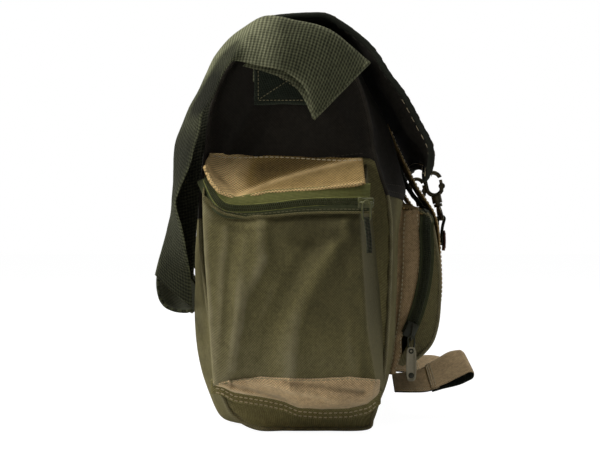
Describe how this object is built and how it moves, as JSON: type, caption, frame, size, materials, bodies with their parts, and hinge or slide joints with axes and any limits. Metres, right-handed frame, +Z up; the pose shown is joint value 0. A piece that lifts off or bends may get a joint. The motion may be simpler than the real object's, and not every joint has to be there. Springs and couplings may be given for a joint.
{
  "type": "messenger bag",
  "caption": "Canvas messenger bag with a front flap on hooks and rings, zipped end pockets, a zipped front pocket and a wide webbing shoulder strap.",
  "frame": {"origin": "on the floor under the middle of the body, on the underside of the bottom panel", "axes": "+X across the bag's width to its right end as seen from behind, -Y the front with the flap and front pocket, +Z up"},
  "size_m": [0.4224, 0.2589, 0.316],
  "materials": {
    "olive_canvas": "washed heavy canvas, matte, worn pale along the seams",
    "dark_canvas": "charcoal-brown washed canvas, matte",
    "khaki_canvas": "khaki washed canvas with doubled stitching",
    "binding": "folded olive binding tape",
    "lining_cloth": "plain cotton lining",
    "webbing": "coarse olive cotton webbing",
    "dark_webbing": "dark green narrow webbing",
    "zip": "olive moulded coil on woven tape",
    "board": "plain stiffening board",
    "leather": "red-brown waxed leather",
    "antique_brass": "antiqued brass, dull with bright edges"
  },
  "bodies": {
    "bag": {"base_panel": "binding", "base_board": "board", "front_lower_panel": "olive_canvas", "front_upper_panel": "dark_canvas", "back_lower_panel": "olive_canvas", "back_upper_panel": "dark_canvas", "left_gusset_lower": "olive_canvas", "right_gusset_lower": "olive_canvas", "left_gusset_upper": "dark_canvas", "right_gusset_upper": "dark_canvas", "mouth_binding": "binding", "lining": "lining_cloth", "inner_slip_pocket": "lining_cloth", "left_pocket_panel": "olive_canvas", "right_pocket_panel": "olive_canvas", "left_pocket_top": "khaki_canvas", "right_pocket_top": "khaki_canvas", "left_pocket_bottom": "khaki_canvas", "right_pocket_bottom": "khaki_canvas", "left_pocket_zip": "zip", "right_pocket_zip": "zip", "front_pocket_face": "olive_canvas", "front_pocket_gusset": "khaki_canvas", "front_pocket_piping": "binding", "front_pocket_zip": "zip", "left_front_strap": "khaki_canvas", "right_front_strap": "khaki_canvas", "left_leather_tab": "leather", "right_leather_tab": "leather", "left_hook_loop": "dark_webbing", "right_hook_loop": "dark_webbing", "left_strap_anchor": "webbing", "right_strap_anchor": "webbing"},
    "flap": {"flap": "dark_canvas", "flap_lining": "lining_cloth", "flap_binding": "binding", "left_d_ring_tab": "leather", "right_d_ring_tab": "leather"},
    "left_ring": {"left_d_ring": "antique_brass"},
    "right_ring": {"right_d_ring": "antique_brass"},
    "strap": {"shoulder_strap": "webbing"},
    "adjuster": {"strap_adjuster": "antique_brass"},
    "left_slider": {"left_pocket_slider": "antique_brass"},
    "left_pull": {"left_pocket_pull": "binding"},
    "left_eye": {"left_hook_eye": "antique_brass"},
    "left_hook": {"left_hook_body": "antique_brass"},
    "left_gate": {"left_hook_gate": "antique_brass"},
    "left_tail": {"left_tail_strap": "khaki_canvas"},
    "right_slider": {"right_pocket_slider": "antique_brass"},
    "right_pull": {"right_pocket_pull": "binding"},
    "right_eye": {"right_hook_eye": "antique_brass"},
    "right_hook": {"right_hook_body": "antique_brass"},
    "right_gate": {"right_hook_gate": "antique_brass"},
    "right_tail": {"right_tail_strap": "khaki_canvas"},
    "side_slider": {"front_pocket_slider": "antique_brass"},
    "side_pull": {"front_pocket_pull": "antique_brass"}
  },
  "joints": [
    {"name": "flap_fold", "type": "hinge", "parent": "bag", "child": "flap", "pos_m": [0, 0.05, 0.288], "axis": [-1, 0, 0], "range_deg": [0, 105]},
    {"name": "strap_swing", "type": "hinge", "parent": "bag", "child": "strap", "pos_m": [0, 0.01, 0.29], "axis": [1, 0, 0], "range_deg": [0, 150]},
    {"name": "adjuster_slide", "type": "slide", "parent": "strap", "child": "adjuster", "axis": [1, 0, 0], "range_m": [-0.12, 0.08]},
    {"name": "left_ring_turn", "type": "hinge", "parent": "flap", "child": "left_ring", "pos_m": [-0.075, -0.107, 0.219], "axis": [-1, 0, 0], "range_deg": [0, 45]},
    {"name": "left_zip_slide", "type": "slide", "parent": "bag", "child": "left_slider", "axis": [0, 1, 0], "range_m": [0, 0.1]},
    {"name": "left_pull_swing", "type": "hinge", "parent": "left_slider", "child": "left_pull", "pos_m": [-0.2092, -0.05, 0.171], "axis": [0, 1, 0], "range_deg": [0, 90]},
    {"name": "left_eye_turn", "type": "hinge", "parent": "bag", "child": "left_eye", "pos_m": [-0.075, -0.1173, 0.16], "axis": [1, 0, 0], "range_deg": [0, 140]},
    {"name": "left_hook_swivel", "type": "hinge", "parent": "left_eye", "child": "left_hook", "pos_m": [-0.075, -0.1173, 0.16], "axis": [0, 0.2079, 0.9781], "range_deg": [-90, 90]},
    {"name": "left_gate_open", "type": "hinge", "parent": "left_hook", "child": "left_gate", "pos_m": [-0.075, -0.11796, 0.18672], "axis": [-1, 0, 0], "range_deg": [0, 25], "stiffness_Nm_per_rad": 0.01},
    {"name": "left_tail_bend", "type": "hinge", "parent": "bag", "child": "left_tail", "pos_m": [-0.075, -0.0795, 0.0265], "axis": [-1, 0, 0], "range_deg": [-8, 12]},
    {"name": "right_ring_turn", "type": "hinge", "parent": "flap", "child": "right_ring", "pos_m": [0.075, -0.107, 0.219], "axis": [-1, 0, 0], "range_deg": [0, 45]},
    {"name": "right_zip_slide", "type": "slide", "parent": "bag", "child": "right_slider", "axis": [0, 1, 0], "range_m": [0, 0.1]},
    {"name": "right_pull_swing", "type": "hinge", "parent": "right_slider", "child": "right_pull", "pos_m": [0.2092, -0.05, 0.171], "axis": [0, -1, 0], "range_deg": [0, 90]},
    {"name": "right_eye_turn", "type": "hinge", "parent": "bag", "child": "right_eye", "pos_m": [0.075, -0.1173, 0.16], "axis": [1, 0, 0], "range_deg": [0, 140]},
    {"name": "right_hook_swivel", "type": "hinge", "parent": "right_eye", "child": "right_hook", "pos_m": [0.075, -0.1173, 0.16], "axis": [0, 0.2079, 0.9781], "range_deg": [-90, 90]},
    {"name": "right_gate_open", "type": "hinge", "parent": "right_hook", "child": "right_gate", "pos_m": [0.075, -0.11796, 0.18672], "axis": [-1, 0, 0], "range_deg": [0, 25], "stiffness_Nm_per_rad": 0.01},
    {"name": "right_tail_bend", "type": "hinge", "parent": "bag", "child": "right_tail", "pos_m": [0.075, -0.0795, 0.0265], "axis": [-1, 0, 0], "range_deg": [-8, 12]},
    {"name": "side_zip_slide", "type": "hinge", "parent": "bag", "child": "side_slider", "pos_m": [-0.1178, 0.0506, 0.135], "axis": [-1, 0, 0], "range_deg": [0, 29]},
    {"name": "side_pull_swing", "type": "hinge", "parent": "side_slider", "child": "side_pull", "pos_m": [-0.1258, -0.08881, 0.06693], "axis": [0, 1, 0], "range_deg": [0, 90]}
  ]
}
